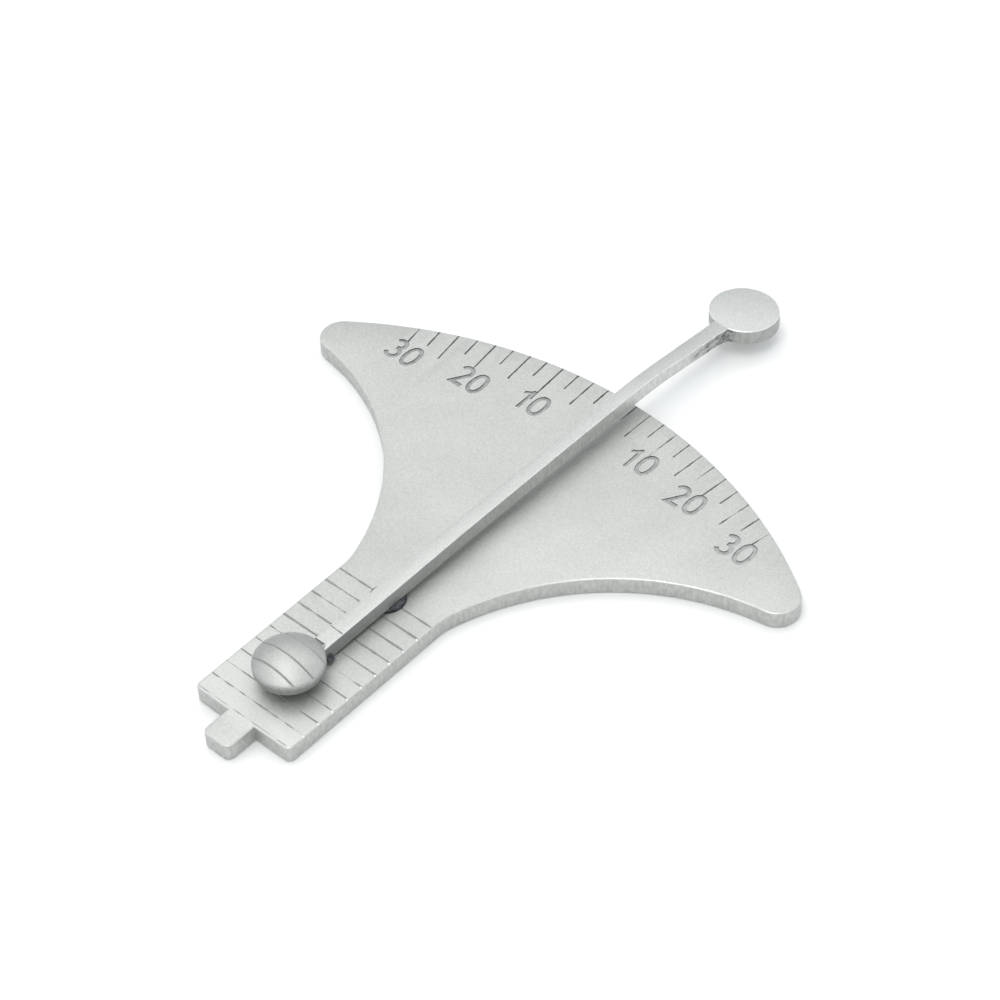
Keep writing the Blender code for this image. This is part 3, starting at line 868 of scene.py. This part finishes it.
def build_pivot_braze(filler):
    """The filler metal in the pocket: a lumpy ring under the bar, which stays off the rivet."""
    floor = PLATE_TOP - RECESS_DEPTH + RING_FLOOR_GAP
    roof = PLATE_TOP + BAR_UNDERSIDE_AT_PIVOT - RING_ROOF_GAP
    middle, half = (roof + floor) / 2, (roof - floor) / 2
    bulge = arc((RING_MIDDLE_RADIUS, middle), half, math.pi / 2, -math.pi / 2, 14)
    profile = [(RING_INNER_RADIUS, roof)] + bulge + [(RING_INNER_RADIUS, floor)]
    shape = turned(profile, 96, is_ring=True)
    lumpy(shape, 4.0, 0.1, 1)
    for vertex in shape.verts:
        vertex.co.z = min(roof, max(floor, vertex.co.z))
        reach = math.hypot(vertex.co.x, vertex.co.y)
        if reach < RING_INNER_RADIUS:
            vertex.co.x *= RING_INNER_RADIUS / reach
            vertex.co.y *= RING_INNER_RADIUS / reach
    ring = add_object("pivot_filler", shape, filler)
    settle(ring, POINTER_FRAME, "pointer", "braze", "pivot_braze", smooth_angle=60)


def add_ellipsoid(shape, centre, radii):
    """Adds an ellipsoid to a bmesh. Its centre's height is counted from the plate's top."""
    grown = bmesh.ops.create_icosphere(shape, subdivisions=5, radius=1)["verts"]
    bmesh.ops.scale(shape, verts=grown, vec=radii)
    bmesh.ops.translate(shape, verts=grown, vec=(centre[0], centre[1], PLATE_TOP + centre[2]))


def build_button_braze(filler, metal):
    """The bead of filler in the corner between the bar and the button, and the blasted fillet above it."""
    shape = bmesh.new()
    add_ellipsoid(shape, BEAD_CENTRE, BEAD_RADII)
    lumpy(shape, 6.0, 0.05, 2)
    bead_count = len(shape.faces)
    add_ellipsoid(shape, FILLET_CENTRE, FILLET_RADII)
    shape.faces.ensure_lookup_table()
    for face in shape.faces[bead_count:]:
        face.material_index = 1
    bead = add_object("button_filler", shape, filler, metal)
    settle(bead, POINTER_FRAME, "pointer", "braze", "button_braze", smooth_angle=60)


# ---------------------------------------------------------------- stage

def build_floor():
    """A plain, pale floor, a hair below the plate so that the two don't share a plane."""
    shape = bmesh.new()
    bmesh.ops.create_grid(shape, x_segments=1, y_segments=1, size=2)
    look = Nodes("pale_floor")
    colour = look.mix(look.noise(4.0), (0.9, 0.9, 0.9, 1), (0.92, 0.92, 0.92, 1))
    look.put(colour, look.shader.inputs["Base Color"])
    look.shader.inputs["Roughness"].default_value = 0.9
    look.shader.inputs["Specular IOR Level"].default_value = 0.1
    floor = add_object("floor", shape, look.material)
    floor.location.z = -FLOOR_DEPTH * MM


def aim(item, offset, target):
    """Puts an object at an offset from a target, facing it."""
    item.location = target + offset
    item.rotation_mode = "QUATERNION"
    item.rotation_quaternion = (-offset).to_track_quat("-Z", "Y")


def add_lamp(name, place, size, energy):
    """A round, soft lamp that faces the plate."""
    lamp = bpy.data.lights.new(name, "AREA")
    lamp.shape = "DISK"
    lamp.size = size
    lamp.energy = energy
    lamp.color = LAMP_COLOUR
    item = bpy.data.objects.new(name, lamp)
    bpy.context.scene.collection.objects.link(item)
    aim(item, Vector(place), Vector((0, 0, 0)))


def build_lights():
    """The lamps, and a pale room that is darker near the horizon and so darkens the far, rounded edges."""
    world = bpy.data.worlds.new("studio")
    bpy.context.scene.world = world
    world.use_nodes = True
    nodes, links = world.node_tree.nodes, world.node_tree.links
    background = nodes["Background"]
    background.inputs["Color"].default_value = ROOM_COLOUR
    split = nodes.new("ShaderNodeSeparateXYZ")
    links.new(nodes.new("ShaderNodeTexCoord").outputs["Generated"], split.inputs[0])
    fade = nodes.new("ShaderNodeMapRange")
    links.new(split.outputs["Z"], fade.inputs["Value"])
    fade.inputs["From Min"].default_value = 0.0
    fade.inputs["From Max"].default_value = ROOM_FADE_TOP
    fade.inputs["To Min"].default_value, fade.inputs["To Max"].default_value = ROOM_STRENGTHS
    links.new(fade.outputs[0], background.inputs["Strength"])
    for lamp in LAMPS:
        add_lamp(*lamp)


def build_camera():
    """The camera looks down at the tail's right side."""
    level_share = math.cos(CAMERA_ELEVATION)
    back = Vector((
        math.sin(CAMERA_AZIMUTH) * level_share,
        -math.cos(CAMERA_AZIMUTH) * level_share,
        math.sin(CAMERA_ELEVATION),
    ))
    target = PLATE_FRAME @ Vector((*CAMERA_TARGET, PLATE_TOP))
    data = bpy.data.cameras.new("camera")
    data.lens = CAMERA_LENS
    data.sensor_width = CAMERA_SENSOR
    data.clip_start = 0.01
    data.clip_end = 20
    camera = bpy.data.objects.new("camera", data)
    bpy.context.scene.collection.objects.link(camera)
    camera.rotation_mode = "QUATERNION"
    camera.location = target + back * CAMERA_DISTANCE * MM
    level = (-back).to_track_quat("-Z", "Y").to_matrix().to_4x4()
    camera.rotation_quaternion = (level @ Matrix.Rotation(CAMERA_ROLL, 4, "Z")).to_quaternion()
    bpy.context.scene.camera = camera


# ---------------------------------------------------------------- the gauge

build_camera()
build_lights()
build_floor()
# The plate's steel has extra light painted onto its tail.
plate_steel = steel("blasted_steel", PLATE_COLOUR, 0.55, side_shade=0.99, painted_tail_light=0.8)
# The bar's sides are painted darker toward the tail: painted shade from the plate beside them.
bar_steel = steel(
    "bar_steel", BAR_COLOUR, 0.5, side_shade=1.15, edge_highlight=1.75, painted_shade_ramp=("Y", -0.013, 0.002, 0.52)
)
# A lighter copy of the bar's steel for its disc, painted light, with its sides painted darker, painted shade.
lit_disc_steel = steel("lit_disc_steel", LIT_DISC_COLOUR, 0.48, side_shade=0.67, edge_highlight=1.5)
# A darker copy of the steel for the button, painted shade, with its low side painted darker still over the
# plate.
shaded_dome_steel = steel(
    "shaded_dome_steel", SHADED_DOME_COLOUR, 0.5, side_shade=0.9, wear=0.0, painted_shade_ramp=("Z", 0.0015, 0.0023, 0.3)
)
# The engraved strokes are dirty and painted darker, painted shade in their hollows.
numeral_steel = engraved_steel("numeral_steel", 0.13, 0.25, 0.31, 0.52, fade=0.22)
line_steel = engraved_steel("line_steel", 0.24, 0.38, 0.38, 0.48)
groove_steel = engraved_steel("groove_steel", 0.33, 0.44, 0.42, 0.5)
# Near-white steel for the edge burrs: a painted glint.
burr_glint_steel = steel("burr_glint_steel", GLINT_COLOUR, 0.3, side_shade=1.0, wear=0.0)
rough_steel = burred_steel()
filler = braze()
build_plate(plate_steel, numeral_steel, line_steel, burr_glint_steel)
build_arm(bar_steel, lit_disc_steel, rough_steel, line_steel)
build_dome(shaded_dome_steel, groove_steel)
build_pivot_braze(filler)
build_button_braze(filler, shaded_dome_steel)
for node in ("pivot_rivet", "friction_washer"):
    frame["nodes"][node].data.materials.clear()
    frame["nodes"][node].data.materials.append(plate_steel)

bpy.context.scene.view_settings.view_transform = "Standard"
